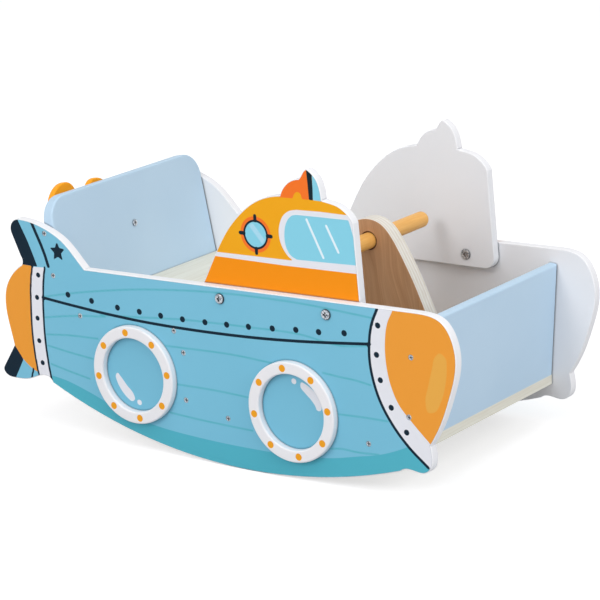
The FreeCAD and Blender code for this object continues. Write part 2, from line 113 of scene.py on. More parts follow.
class Finish:
    """A material with one Principled shader, and short ways to add nodes to it."""

    def __init__(self, name, **constants):
        self.material = bpy.data.materials.new(name)
        self.material.use_nodes = True
        self.tree = self.material.node_tree
        self.shader = self.tree.nodes["Principled BSDF"]
        for socket, value in constants.items():
            self.shader.inputs[socket.replace("_", " ")].default_value = value

    def node(self, kind, settings=None, inputs=None, output=0):
        """Adds a node, and hands back one of its outputs."""
        made = self.tree.nodes.new(kind)
        for name, value in (settings or {}).items():
            setattr(made, name, value)
        for key, value in (inputs or {}).items():
            if isinstance(value, Value):
                self.tree.links.new(value.socket, made.inputs[key])
            else:
                made.inputs[key].default_value = value
        return Value(self, made.outputs[output])

    def math(self, operation, first, second=0.0):
        """One Math node on two numbers."""
        return self.node("ShaderNodeMath", {"operation": operation}, {0: first, 1: second})

    def place(self):
        """The point on the object, in metres."""
        return self.node("ShaderNodeTexCoord", output="Object")

    def axes(self, vector):
        """The three numbers of a vector."""
        made = self.node("ShaderNodeSeparateXYZ", inputs={0: vector})
        return [Value(self, socket) for socket in made.socket.node.outputs]

    def facing(self):
        """Which way the surface faces, in the object's own axes."""
        return self.axes(self.node("ShaderNodeTexCoord", output="Normal"))

    def stretched(self, x, y, z):
        """The point on the object with each axis scaled, for grain that runs one way."""
        return self.node("ShaderNodeMapping", inputs={"Vector": self.place(), "Scale": (x, y, z)})

    def noise(self, vector, scale, detail=2.0, roughness=0.5):
        """Smooth random values, mostly between 0.3 and 0.7, at a place."""
        inputs = {"Vector": vector, "Scale": scale, "Detail": detail, "Roughness": roughness}
        return self.node("ShaderNodeTexNoise", inputs=inputs)

    def field(self, name):
        """A number that the mesh holds at each vertex."""
        return self.node("ShaderNodeAttribute", {"attribute_name": name}, output="Fac")

    def between(self, value, low, high):
        """0 below low, 1 above high, and a straight slope between; low may be the larger."""
        ends = {"Value": value, "From Min": low, "From Max": high}
        return self.node("ShaderNodeMapRange", inputs=ends)

    def crevice(self, reach):
        """1 deep in a corner, 0 in the open, for what stands within reach in metres: the share of
        painted shade there.
        """
        sky = self.node("ShaderNodeAmbientOcclusion", {"samples": 8}, {"Distance": reach}, output=1)
        return self.between(sky, 0.95, 0.45)

    def mix(self, share, first, second):
        """first where share is 0, second where it is 1, for colours."""
        return self.node("ShaderNodeMix", {"data_type": "RGBA"}, {0: share, 6: first, 7: second},
                         output=2)

    def with_painted_joint_shade(self, tone, reach, share, shade):
        """The tone, with that share of painted shade where another piece stands within reach, as a
        dark line in the joints.
        """
        return self.mix(self.crevice(reach) * share, tone, shade)

    def colour(self, value):
        """Feeds the base colour."""
        self.tree.links.new(value.socket, self.shader.inputs["Base Color"])

    def rough(self, value):
        """Feeds the roughness."""
        self.tree.links.new(value.socket, self.shader.inputs["Roughness"])

    def bump(self, height, depth):
        """Raises the surface by height, 0 to 1, times depth in metres."""
        made = self.node("ShaderNodeBump", inputs={"Height": height, "Distance": depth})
        self.tree.links.new(made.socket, self.shader.inputs["Normal"])


def dress(finish, *names):
    """Gives the finish to each CAD node whose name starts with one of the names."""
    count = 0
    for name, thing in nodes.items():
        if name.startswith(names):
            thing.data.materials.clear()
            thing.data.materials.append(finish.material)
            count += 1
    print(finish.material.name, "on", count, "nodes")


# %% [markdown]
# ## Painted boards
# Children's furniture is sprayed with a satin paint. It isn't quite flat: the
# spray leaves a fine orange peel, and the coat is a little shinier in places.
# Both come from noise, one feeding the bump and one the roughness. Where two
# boards meet, painted shade draws a fine dark line, where an Ambient Occlusion
# node finds little open sky within a few millimetres. The white goes on the
# side panels and cabin boards, the light blue on the backrest and the front
# panel, and the orange on the propeller and its cap.

# %% Satin paint
# The colour of the painted shade in joints, and how far and how strongly it reaches.
painted_joint_shade = ink(88, 98, 110)
joint_reach = 0.0025
joint_share = 0.6


def satin_paint(name, tint, shade, roughness=0.42):
    """A sprayed coat: two close tints in clouds, painted shade in the joints, with fine orange
    peel.
    """
    paint = Finish(name, Specular_IOR_Level=0.3)
    clouds = paint.noise(paint.place(), 9.0, 3.0)
    coat = paint.mix(paint.between(clouds, 0.35, 0.65), tint, shade)
    # Painted shade: the coat darkens to a fine dark line where another piece stands close.
    paint.colour(paint.with_painted_joint_shade(coat, joint_reach, joint_share, painted_joint_shade))
    paint.rough(roughness + 0.12 * paint.noise(paint.place(), 60.0))
    orange_peel = paint.noise(paint.place(), 900.0, 1.0)
    paint.bump(orange_peel, 0.00006)
    return paint


white_paint = satin_paint("white_satin_paint", ink(236, 236, 239), ink(233, 234, 238))
blue_paint = satin_paint("light_blue_satin_paint", ink(186, 211, 231), ink(182, 208, 229))
orange_paint = satin_paint("orange_satin_paint", ink(255, 170, 22), ink(255, 164, 14))
dress(white_paint, "side_panel", "cabin_board")
dress(blue_paint, "backrest", "front_panel")
for name in ("propeller", "propeller_cap"):
    nodes[name].data.materials.clear()
    nodes[name].data.materials.append(orange_paint.material)

# %% [markdown]
# ## Pale plywood
# The seat, its riser and the floor are plain plywood under clear lacquer. The
# grain is long, faint and runs across the toy, so the noise is stretched along
# Y. On the edges the thin glue lines between the plies show, as a repeat along
# Z on a level board and along X on the upright one.

# %% Lacquered plywood
ply_thickness = 0.0024


def pale_plywood(name, layer_axis):
    """Two wood tones in stretched noise, and darker glue lines on the boards' edges."""
    wood = Finish(name, Specular_IOR_Level=0.35)
    fibres = wood.noise(wood.stretched(260.0, 9.0, 260.0), 1.0, 5.0, 0.62)
    bands = wood.noise(wood.stretched(40.0, 3.0, 40.0), 1.0, 2.0)
    tone = wood.mix(wood.between(fibres + 0.5 * bands, 0.55, 0.95), ink(228, 227, 215),
                    ink(215, 211, 196))
    facing = wood.facing()[layer_axis]
    edge = wood.between(wood.math("ABSOLUTE", facing), 0.85, 0.6)
    layers = wood.math("PINGPONG", wood.axes(wood.place())[layer_axis] / ply_thickness, 1.0)
    glue = wood.between(layers, 0.86, 0.97) * edge
    tone = wood.mix(glue * 0.12, tone, ink(150, 118, 84))
    # Painted shade: a fine dark line where another board meets the plywood.
    wood.colour(wood.with_painted_joint_shade(tone, joint_reach, joint_share, painted_joint_shade))
    wood.rough(0.42 + 0.2 * fibres)
    wood.bump(fibres, 0.00012)
    return wood


dress(pale_plywood("lacquered_plywood_level", layer_axis=2), "seat_board", "floor_board")
dress(pale_plywood("lacquered_plywood_upright", layer_axis=0), "seat_riser")

# %% [markdown]
# ## The steering fin
# The fin is thick plywood with a brown face veneer. The veneer's grain runs
# up the fin and drifts a little, which a second, broader noise does to the
# first one's coordinates. The edge shows pale plies that lie side by side, and
# a dark brown ring of painted shade round the hole for the handle stands for
# the hole's chamfer in shadow.

# %% Brown veneer
fin = Finish("brown_veneered_plywood", Specular_IOR_Level=0.35)
fin_x, fin_y, fin_z = fin.axes(fin.place())
drift = fin.noise(fin.stretched(14.0, 14.0, 5.0), 1.0, 2.0)
leaning = fin_x + 0.05 * drift + 0.22 * fin_z


def up_the_fin(across, through_it, upwards, detail, roughness=0.5):
    """Noise whose streaks run up the fin, for three scales in streaks per metre."""
    scaled = {0: leaning * across, 1: fin_y * through_it, 2: fin_z * upwards}
    return fin.noise(fin.node("ShaderNodeCombineXYZ", inputs=scaled), 1.0, detail, roughness)


fibres = up_the_fin(420.0, 420.0, 12.0, 6.0, 0.6)
broad = up_the_fin(60.0, 10.0, 4.0, 2.0)
veneer = fin.mix(fin.between(fibres, 0.3, 0.72), ink(180, 130, 88), ink(207, 159, 117))
veneer = fin.mix(fin.between(broad, 0.35, 0.7) * 0.45, veneer, ink(216, 173, 134))

# %% The fin's ply edge and the painted shade round its hole
fin_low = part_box("steering_fin")[0]
fin_ply_thickness = 0.0026
# Painted shade: a dark brown ring round the handle's hole, between these two distances from the
# bar's axis.
hole_shade_outer = 0.0122
hole_shade_inner = 0.0114
layers = fin.math("PINGPONG", (fin_y - fin_low[1]) / fin_ply_thickness, 1.0)
edge_fibres = fin.noise(fin.stretched(90.0, 700.0, 90.0), 1.0, 3.0)
edge_tone = fin.mix(fin.between(layers, 0.35, 0.65), ink(228, 225, 217), ink(218, 211, 200))
edge_tone = fin.mix(fin.between(edge_fibres, 0.5, 0.8) * 0.5, edge_tone, ink(196, 176, 150))
sideways = fin.math("ABSOLUTE", fin.facing()[1])
faced = fin.mix(fin.between(sideways, 0.6, 0.9), edge_tone, veneer)
# Painted shade round the handle's hole, standing for its chamfer in shadow.
from_bar_x = fin_x - bar_middle[0]
from_bar_z = fin_z - bar_middle[2]
from_bar = fin.math("SQRT", from_bar_x * from_bar_x + from_bar_z * from_bar_z)
fin.colour(fin.mix(fin.between(from_bar, hole_shade_outer, hole_shade_inner), faced, ink(92, 52, 26)))
fin.rough(0.4 + 0.2 * fibres)
fin.bump(fibres, 0.00015)
dress(fin, "steering_fin")

# %% [markdown]
# ## Turned wood
# The handle bar and the propeller's shaft are turned rods of a warm, lacquered
# wood. Its fine flecks run along the rod. The handle lies along Y and the
# shaft nearly along X, so each gets its own stretch.

# %% Lacquered rods
def turned_wood(name, stretch, light, dark):
    """Flecks and broad bands of two warm tones, stretched along the rod."""
    wood = Finish(name)
    flecks = wood.noise(wood.stretched(*stretch), 1.0, 4.0, 0.6)
    bands = wood.noise(wood.stretched(*(s * 0.2 for s in stretch)), 1.0, 2.0)
    tone = wood.mix(wood.between(flecks, 0.35, 0.75), light, dark)
    wood.colour(wood.mix(wood.between(bands, 0.4, 0.8) * 0.4, tone, dark))
    wood.rough(0.34 + 0.15 * flecks)
    wood.bump(flecks, 0.00008)
    return wood


along_y = (500.0, 30.0, 500.0)
along_x = (30.0, 500.0, 400.0)
dress(turned_wood("lacquered_handle_wood", along_y, ink(238, 182, 100), ink(226, 165, 80)),
      "handle_bar")
dress(turned_wood("lacquered_shaft_wood", along_x, ink(236, 204, 152), ink(214, 176, 120)),
      "propeller_shaft")

# %% [markdown]
# ## Zinc-plated steel
# Screw heads are small, but they catch the light. Zinc plating is bright and a
# little clouded, and its dark clouds are partly a painted reflection. The cross
# and the rim of a head get painted shade: the cross because hardly any light
# gets in there, the rim as a painted dark reflection where it turns away.

# %% Plated steel
def plated_steel(name, rim_painted_shade):
    """Clouded plating, partly a painted reflection, with painted shade in the cross; the rim's
    share paints a head darker, as a painted dark reflection, where it turns away from Y.
    """
    steel = Finish(name, Metallic=0.7)
    clouds = steel.noise(steel.place(), 420.0, 3.0)
    # The dark clouds are partly real plating and partly a painted reflection.
    plating_with_painted_light = steel.mix(steel.between(clouds, 0.42, 0.62), ink(232, 237, 243), ink(140, 148, 158))
    turned = steel.between(steel.math("ABSOLUTE", steel.facing()[1]), 0.97, 0.7)
    # Painted dark reflection and shade on a head's rim, where it turns away from Y.
    plating_with_painted_light = steel.mix(turned * rim_painted_shade, plating_with_painted_light, ink(24, 28, 32))
    # Painted shade in the cross and round the base of a head.
    steel.colour(steel.with_painted_joint_shade(plating_with_painted_light, 0.002, 1.0, ink(24, 30, 40)))
    steel.rough(0.24 + 0.25 * steel.noise(steel.place(), 700.0, 3.0))
    steel.bump(steel.noise(steel.place(), 2500.0, 1.0), 0.00003)
    return steel


dress(plated_steel("zinc_plated_screws", rim_painted_shade=0.0), "backrest_screws", "seat_screws",
      "riser_screws", "floor_screws", "front_panel_screws", "fin_screws", "shaft_screw",
      "cap_screw")
dress(plated_steel("zinc_plated_bolts", rim_painted_shade=0.85), "cabin_bolts", "cabin_nuts")

# %% [markdown]
# ## Porthole rings with dots
# Each white ring carries eight yellow dots. Around the ring's middle, the
# angle is folded into one eighth of a turn, so that one formula, the distance
# to one dot, draws all eight. The dots are on the flat faces only.

# %% Rings
def ring_paint(name, middle, first_angle, count=8, radius=0.0543, dot=0.0045):
    """White satin paint with dots on a circle round the middle, a point of x and z in metres."""
    paint = Finish(name, Specular_IOR_Level=0.3)
    x, y, z = paint.axes(paint.place())
    across = x - middle[0]
    up = z - middle[1]
    step = 2 * math.pi / count
    turn = (paint.math("ARCTAN2", up, across) - first_angle) / step
    fold = (paint.math("FRACT", turn + 0.5) - 0.5) * step
    reach = paint.math("SQRT", across * across + up * up)
    aside = reach * paint.math("SINE", fold)
    along = reach * paint.math("COSINE", fold) - radius
    away = paint.math("SQRT", aside * aside + along * along)
    flat = paint.between(paint.math("ABSOLUTE", paint.facing()[1]), 0.9, 0.97)
    soft = 0.0002
    dots = paint.between(away, dot + soft, dot - soft) * flat
    clouds = paint.noise(paint.place(), 12.0, 2.0)
    white = paint.mix(clouds, ink(238, 236, 238), ink(233, 232, 236))
    dotted = paint.mix(dots, white, ink(240, 160, 16))
    # Painted shade: a dark line round the ring where it stands on the print.
    paint.colour(paint.with_painted_joint_shade(dotted, 0.003, joint_share, painted_joint_shade))
    paint.rough(0.36 + 0.12 * paint.noise(paint.place(), 80.0))
    paint.bump(paint.noise(paint.place(), 900.0, 1.0), 0.00005)
    return paint


for end, first_angle in (("front", 9.7), ("rear", 8.0)):
    for side in ("right", "left"):
        node = f"porthole_ring_{end}_{side}"
        low, high = (np.array(corner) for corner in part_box(node))
        middle = (low + high)[[0, 2]] / 2
        dress(ring_paint(f"white_ring_{end}_{side}", middle.tolist(), math.radians(first_angle)),
              node)

# %% [markdown]
# ## Shapes on the print
# The picture on the boards is printed, so it has sharp edges at any distance.
# A painted pixel grid would blur. Instead, each vertex of the printed sheet
# keeps its distance in millimetres to each kind of shape, below zero inside.
# Distance is nearly a straight function between vertices, so the shader finds
# the crisp edge where it crosses zero, with cells of 1 to 2 mm.

# %% Curves and distances, as whole arrays
def through(points, closed=False, steps=10):
    """A smooth path through the points: cubic pieces whose slopes are the chords' mean slopes."""
    knots = np.array(points, dtype=float)
    if closed:
        knots = np.vstack([knots[-3:], knots, knots[:4]])
    span = np.concatenate([[0.0], np.cumsum(np.hypot(*np.diff(knots, axis=0).T))])
    slope = np.gradient(knots, span, axis=0)
    first, last = (3, len(knots) - 4) if closed else (0, len(knots) - 1)
    u = (np.arange((last - first) * steps + 1) / steps) + first
    i = np.minimum(u.astype(int), last - 1)
    t = (u - i)[:, None]
    h = (span[i + 1] - span[i])[:, None]
    start, end = knots[i], knots[i + 1]
    leave, arrive = slope[i] * h, slope[i + 1] * h
    return (start * (2 * t**3 - 3 * t**2 + 1) + leave * (t**3 - 2 * t**2 + t)
            + end * (3 * t**2 - 2 * t**3) + arrive * (t**3 - t**2))


def apart(spots, path):
    """Each spot's distance to a path: the least distance to its straight pieces."""
    start, run = path[:-1], np.diff(path, axis=0)
    away = spots[:, None, :] - start[None]
    share = (away * run).sum(2) / np.maximum((run * run).sum(1), 1e-9)
    away = away - np.clip(share, 0, 1)[..., None] * run
    return np.sqrt((away * away).sum(2).min(1))


def area(spots, outline):
    """Distance to a closed outline, negative inside, where a ray crosses it an odd number of
    times."""
    ring = np.vstack([outline, outline[:1]])
    start, end = ring[:-1], ring[1:]
    z = spots[:, 1][:, None]
    crosses = (start[:, 1] > z) != (end[:, 1] > z)
    rise = np.where(end[:, 1] == start[:, 1], 1.0, end[:, 1] - start[:, 1])
    reach = start[:, 0] + (z - start[:, 1]) * (end[:, 0] - start[:, 0]) / rise
    odd = (crosses & (spots[:, 0][:, None] < reach)).sum(1) % 2 == 1
    return np.where(odd, -1.0, 1.0) * apart(spots, ring)


def line(spots, path, width):
    """Distance to a drawn line of that width, negative on it."""
    return apart(spots, np.array(path, dtype=float)) - width / 2


def disc(spots, middle, radius):
    """Distance to a round spot, negative inside."""
    return np.hypot(*(spots - np.array(middle)).T) - radius


def nearest(*fields):
    """Several shapes as one: the least of their distances."""
    return np.minimum.reduce(fields)


# %% [markdown]
# ## A sheet fine enough to hold the print
# The film in the model is one flat face with long triangles. A copy of it is
# joined up, its inner edges are dissolved, and then it is cut into small cells,
# first across and then up. The far side's sheet is the near one mirrored, with
# its faces turned round. Solidify gives the sheet its thickness again.

# %% Cut a film into small cells
def printed_sheet(name, node, mirrored_node, steps, fields):
    """Fine sheets for the right film and its mirror image; fields is a function of spots in mm."""
    cut = bmesh.new()
    cut.from_mesh(nodes[node].data)
    bmesh.ops.remove_doubles(cut, verts=cut.verts, dist=1e-6)
    cut.normal_update()
    hidden = [face for face in cut.faces if face.normal.y > -0.9]
    bmesh.ops.delete(cut, geom=hidden, context="FACES")
    bmesh.ops.dissolve_limit(cut, angle_limit=0.01, verts=[], edges=cut.edges)
    low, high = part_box(node)
    for axis, step in zip((0, 2), steps):
        square = [0.0, 0.0, 0.0]
        square[axis] = 1.0
        for place in np.arange(low[axis] + step / 2, high[axis], step):
            spot = [0.0, 0.0, 0.0]
            spot[axis] = place
            geometry = cut.verts[:] + cut.edges[:] + cut.faces[:]
            bmesh.ops.bisect_plane(cut, geom=geometry, plane_co=spot, plane_no=square, dist=1e-7)
    sheet = bpy.data.meshes.new(name)
    cut.to_mesh(sheet)
    corners = np.empty(len(sheet.vertices) * 3)
    sheet.vertices.foreach_get("co", corners)
    corners = corners.reshape(-1, 3)
    spots = (corners - drawn_zero)[:, [0, 2]] * 1000
    for field, values in fields(spots).items():
        distances = sheet.attributes.new(field, "FLOAT", "POINT").data
        distances.foreach_set("value", values.astype(np.float32))
    cut.clear()
    cut.from_mesh(sheet)
    bmesh.ops.reverse_faces(cut, faces=cut.faces)
    mirror = bpy.data.meshes.new(name + "_mirror")
    cut.to_mesh(mirror)
    cut.free()
    corners[:, 1] *= -1
    mirror.vertices.foreach_set("co", corners.ravel())
    made = []
    for mesh, stands_for in ((sheet, node), (mirror, mirrored_node)):
        thing = bpy.data.objects.new(stands_for + "_sheet", mesh)
        bpy.context.scene.collection.objects.link(thing)
        film = thing.modifiers.new("film", "SOLIDIFY")
        film.thickness = float(high[1] - low[1])
        film.offset = -1.0
        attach(thing, "boat")
        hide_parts(stands_for)
        made.append(thing)
    print(name, len(sheet.polygons), "faces", len(sheet.vertices), "vertices")
    return made


# %% [markdown]
# ## The hull's picture
# A light blue hull with faint plank lines, a dark line with rivets under the
# deck, a deeper band along the keel, and at both ends a white band with rivets
# before an orange cone. The tail and lower fins have dark tips. A star, stripes
# and rivets are plain traditional boat decoration. The short white strokes in
# the portholes are the printed shine of their glass.

# %% Lay out the hull's shapes
def star(middle, radius, tilt=0.0, points=5, waist=0.46, narrow=0.93):
    """The corners of a star, outer and inner ones in turn, a little narrower than it is tall."""
    angle = np.pi / 2 + tilt + np.arange(2 * points) * np.pi / points
    reach = np.where(np.arange(2 * points) % 2 == 0, radius, radius * waist)
    return np.column_stack([middle[0] + narrow * reach * np.cos(angle),
                            middle[1] + reach * np.sin(angle)])


def along(path, first, last, count):
    """Points spread evenly along a path, between two shares of its length."""
    span = np.concatenate([[0.0], np.cumsum(np.hypot(*np.diff(path, axis=0).T))])
    wanted = np.linspace(first, last, count) * span[-1]
    return np.column_stack([np.interp(wanted, span, path[:, k]) for k in (0, 1)])


deck_line = through([(-268, 177.9), (-240, 175.3), (-208, 172.7), (-176, 170.3), (-144, 168.5),
                     (-123.5, 167.5), (-72, 166.4), (-21, 166.6), (29, 167.8), (78, 170),
                     (127, 173.5), (184, 178.9), (226, 183.4)])
deck_rivets = [(-226, 186.7), (-188.3, 183.4), (-147.4, 179.9), (-113.2, 179), (-80.2, 178.2),
               (-46.7, 178), (-12.6, 178.7), (20, 179.9), (52.4, 181.5), (87.5, 184),
               (121.7, 186.8), (154.4, 188.4), (190.6, 191.8)]
bow_line = through([(239.5, 231), (238, 227.5), (229.4, 207.6), (225, 183.4), (224.9, 162.3),
                    (228.9, 139.8), (237.4, 116), (253.3, 90.1), (274.4, 66.6), (301, 45.1)])
bow_rivets = [(237.9, 207.2), (234.7, 171.7), (238.7, 141.8), (252.4, 110.6), (272.5, 83.6)]
bow_cone = through([(260, 230), (258.6, 226.9), (251.2, 211.9), (246.9, 186.3), (247.5, 162.7),
                    (253.5, 135.5), (263.9, 114.5), (277.7, 99.7), (305.3, 73.8)])
shine_on_cone = through([(321.3, 185.3), (329, 180), (330, 168.6), (327.7, 149), (321.5, 128.7),
                         (311, 113.5), (303, 112.4), (300, 122.7), (304.9, 145.7), (310.4, 165.9),
                         (314.5, 179.5)], closed=True)
stern_line = through([(-281.2, 217.5), (-284.5, 204), (-287.7, 177.6), (-288.7, 159.2),
                      (-289.2, 139.5), (-288.8, 117.2), (-287.2, 99), (-284.1, 78.3), (-281.5, 68)])
stern_edge = through([(-261.1, 217.5), (-264, 203.8), (-267, 180.1), (-268.3, 161.8), (-269, 135.7),
                      (-267.9, 112.3), (-265.7, 90.2), (-261.5, 64)])
stern_rivets = [(-272.8, 206.4), (-277.3, 176.9), (-279, 149.6), (-278.9, 120.1), (-275.8, 91.6)]
fin_border = through([(-322.5, 110.6), (-320.5, 108.3), (-307.8, 92.2), (-291.4, 80.6),
                      (-284.3, 78)])
keel_band = through([(-262, 77), (-240, 74), (-202, 63.6), (-142.4, 43.2), (-92.8, 34.8),
                     (-30.4, 30.2), (45, 28.6), (110, 30), (166.5, 35.6), (202, 43.2), (233, 50.3),
                     (252, 56.8), (270, 64.5)])
planks = [
    through([(-266, 179), (-236, 185.9), (-206, 192.1), (-174, 197.8), (-120.5, 206.2),
             (-68.5, 212.1), (-17.5, 216.5), (32.4, 219), (81.3, 220), (129.4, 220), (186, 217.6),
             (233, 215)]),
    through([(-176, 167), (-136.4, 170), (-84, 174.6), (-50.6, 177.4), (-7.5, 179.2), (54.6, 181.1),
             (127.5, 182), (184, 176), (224, 180.7)]),
    through([(-266.6, 152.2), (-241.6, 156.7), (-208.8, 161.6), (-168.4, 165.5)]),
    through([(-265.3, 130.2), (-227.4, 133.9), (-182, 135.4)]),
    through([(-265, 115.8), (-229.3, 111.5), (-192.4, 108.1)]),
    through([(-261.4, 92), (-231.5, 86.4), (-199.5, 81.1)]),
    through([(-76.3, 140.8), (-35.3, 142.1), (27.6, 143.4), (84, 141)]),
    through([(-63, 93.9), (-25.9, 94.4), (11.9, 94.2), (46.7, 92.8)]),
    through([(-74.8, 55.9), (-28.7, 53.5), (10, 52.4), (51.2, 51.7)]),
    through([(157.6, 139.4), (182, 137.6), (203.3, 136.6), (225.1, 133.8)]),
    through([(177, 91.5), (212.7, 92.9), (246.8, 93.2)]),
    through([(165, 47), (177.6, 49), (202.4, 48.6), (232.8, 50.3)]),
]
print(len(planks), "plank lines,", len(deck_rivets) + len(bow_rivets) + len(stern_rivets), "rivets")


# %% [markdown]
# Regions are closed loops, made from the curves above and corners well outside
# the board, because the board's own edge trims them. Everything dark is one
# field, everything white another, and so on.

# %% Distances for the hull's ink
def loop(*runs):
    """One outline from single points and whole paths, in order."""
    return np.vstack([np.array(run, dtype=float).reshape(-1, 2) for run in runs])


tail_root = 217.3
tail_tip = loop((-302, 278), (-300.5, 275.1), (-294.3, 263.5), (-287, 250.1), (-280.4, 235.3),
                (-273, tail_root), (-330, tail_root), (-330, 300), (-312, 300))
stern_cone = loop(stern_line[stern_line[:, 1] < tail_root], (-284.3, 78), fin_border[::-1],
                  (-380, 112), (-380, tail_root), (-281.3, tail_root))
stern_band = loop(stern_line[stern_line[:, 1] < tail_root], (-284, 30), (-260, 30),
                  stern_edge[::-1])
low_tip = loop((-309.5, 94.2), (-307.9, 91.5), (-314.9, 79.3), (-322, 67), (-326, 58), (-360, 58),
               (-360, 108), fin_border[:12])
bow_front = loop(bow_cone, (312, 66), (360, 80), (360, 240), (262, 240))
bow_band = loop(bow_line, (312, 36), (330, 20), (360, 60), (305.3, 73.8), bow_cone[::-1])
rear_shine = through([(-157, 92), (-154.2, 95.8), (-149.3, 91.5), (-140.8, 82), (-130.3, 71),
                      (-128.7, 65.2), (-133.1, 61.7), (-140.7, 65.5), (-149.3, 74), (-155.2, 83.9)],
                     closed=True)
front_shine = through([(124.5, 118), (125.9, 123.2), (131.5, 121.8), (140, 117.4), (150.5, 107.5),
                       (153.8, 99.5), (152.5, 92), (147.8, 91), (144.5, 97), (139, 103.5),
                       (131.5, 110)], closed=True)


def hull_ink(spots):
    """One distance field, in mm, for each ink on the hull."""
    dark = [line(spots, deck_line, 3.7), line(spots, bow_line, 3.7), line(spots, stern_edge, 3.2),
            line(spots, stern_line, 3.0), area(spots, tail_tip), area(spots, low_tip),
            line(spots, [(-279.4, 277), (-271.8, 260.9), (-264.9, 246.9), (-259.5, 234),
                         (-255, 219.8)], 4.6),
            line(spots, [(-291.8, 81.5), (-297.5, 64)], 3.0),
            area(spots, star((-238.2, 240.4), 13.7, 0.03))]
    dark += [disc(spots, middle, 3.9) for middle in deck_rivets]
    dark += [disc(spots, middle, 3.7) for middle in bow_rivets]
    dark += [disc(spots, middle, 3.4) for middle in stern_rivets]
    white = [area(spots, stern_band), area(spots, bow_band), area(spots, rear_shine),
             area(spots, front_shine), disc(spots, (-121.8, 61.8), 3.6),
             disc(spots, (115.3, 122.9), 3.6)]
    keel = area(spots, loop(keel_band, (276.4, 68.5), (312, 62), (330, -20), (-262, -20)))
    return {
        "dark": nearest(*dark),
        "white": nearest(*white),
        "orange": nearest(area(spots, stern_cone), area(spots, bow_front)),
        "shine": area(spots, shine_on_cone),
        "keel": keel,
        "plank": nearest(*(line(spots, plank, 2.2) for plank in planks)),
    }


hull_cell = (0.0024, 0.0015)
hull_sheets = printed_sheet("hull_print", "hull_print_right", "hull_print_left", hull_cell,
                            hull_ink)

# %% [markdown]
# ## The cabin's picture
# A yellow dome over an orange band, a window with two glare strokes, a round
# porthole with four lugs, and the stepped hatch in red, black and blue.

# %% Lay out the cabin's shapes
window_frame = loop(through([(112.3, 267.4), (107.4, 270.8), (100.8, 278.5), (96.3, 288.1),
                             (94.9, 298.1), (97, 310.0), (102.2, 319.6), (111.6, 326.3),
                             (121.8, 328.6)]), (155.6, 329.8), (194, 329.6), (220, 329.6),
                    (220, 262), (112, 266.5))
window_glass = loop(through([(119, 268.6), (110.6, 272.8), (105.9, 279.1), (103.3, 287.2),
                             (103, 299), (105, 308.5), (109.5, 316.5), (114.8, 320.9),
                             (121.4, 322.6)]), (155.2, 323.3), (194.7, 323.9),
                    through([(194.7, 323.9), (199.3, 309.5), (202, 289.8), (203.2, 271.3)]),
                    (162.3, 269.8))
hatch_red = loop((99.2, 341.2), (90, 346), (90, 385), (138.2, 385), (138.2, 375.7), (139.4, 359.7),
                 (140.4, 342.4))
hatch_black = loop((138.2, 375.7), (138.2, 385), (146, 385), (145.9, 368.6), (146.3, 357.1),
                   (146.1, 342.3), (140.4, 342.4), (139.4, 359.7))
hatch_blue = loop((146, 385), (170, 385), (170, 342.5), (146.1, 342.5))
hatch_bump = through([(116.6, 340.5), (118, 344), (120.3, 348), (124.5, 350.2), (128.4, 348.4),
                      (130, 344), (131, 340.5), (124, 339)], closed=True)


def cabin_ink(spots):
    """One distance field, in mm, for each ink on the cabin."""
    x, z = spots.T
    eye = (61, 292.4)
    dome_edge = 264.7 + 0.018 * x
    band_top = 259.4 + 0.018 * np.maximum(x - 100, 0)
    lugs = [line(spots, [(eye[0] + 17 * dx, eye[1] + 17 * dz),
                         (eye[0] + 22.6 * dx, eye[1] + 22.6 * dz)], 4.6)
            for dx, dz in ((1, 0), (-1, 0), (0, 1), (0, -1))]
    black = nearest(np.abs(disc(spots, eye, 16.6)) - 1.3, *lugs, area(spots, hatch_black))
    gleam = np.maximum(disc(spots, eye, 13.5), np.abs(x - eye[0] + 0.9 * (z - eye[1]) - 4) - 4.5)
    strokes = [line(spots, [(135.7, 318.5), (157.3, 275.1)], 3.0),
               line(spots, [(163.2, 313.9), (178.9, 284)], 3.0)]
    return {
        "dark": black,
        "red": nearest(disc(spots, eye, 22.0),
                       np.maximum(area(spots, hatch_red), -area(spots, hatch_bump))),
        "glass": nearest(disc(spots, eye, 16.6), area(spots, window_glass),
                         area(spots, hatch_blue)),
        "white": nearest(area(spots, window_frame), np.maximum(z - dome_edge, band_top - z)),
        "glare": nearest(*strokes),
        "gleam": gleam,
        "band": z - band_top,
    }


cabin_cell = (0.0012, 0.0012)
cabin_sheets = printed_sheet("cabin_print", "cabin_print_right", "cabin_print_left", cabin_cell,
                             cabin_ink)

# %% [markdown]
# ## Ink on the sheets
# The inks are laid one over the other, lightest first, as a printer would. Each
# mask is a steep slope across its distance field. The film is smooth with a
# soft gloss, and the board's grain shows through it only as a faint bump.

# %% Mix the inks
def printed(name, ground, layers, soft=0.22):
    """A ground colour and inks over it in order: field, colour, opacity and soft edge in mm."""
    film = Finish(name, Specular_IOR_Level=0.15)
    tone = ground(film)
    for field, colour, share, softness in layers:
        edge = softness or soft
        mask = film.between(film.field(field), edge, -edge)
        tone = film.mix(mask * share if share < 1 else mask, tone, colour)
    # Painted shade: the ink darkens where a ring, a bolt head or a board stands within 3 mm.
    film.colour(film.with_painted_joint_shade(tone, 0.003, 0.55, ink(30, 70, 90)))
    film.rough(0.36 + 0.1 * film.noise(film.place(), 40.0))
    film.bump(film.noise(film.stretched(120.0, 120.0, 1200.0), 1.0, 3.0), 0.00004)
    return film


def hull_ground(film):
    """The hull's light blue, faintly clouded."""
    clouds = film.noise(film.place(), 5.0, 2.0)
    return film.mix(film.between(clouds, 0.3, 0.7), ink(124, 192, 218), ink(120, 189, 215))


def dome_ground(film):
    """The cabin's orange yellow, faintly clouded."""
    clouds = film.noise(film.place(), 8.0, 2.0)
    return film.mix(film.between(clouds, 0.3, 0.7), ink(241, 169, 24), ink(240, 165, 20))


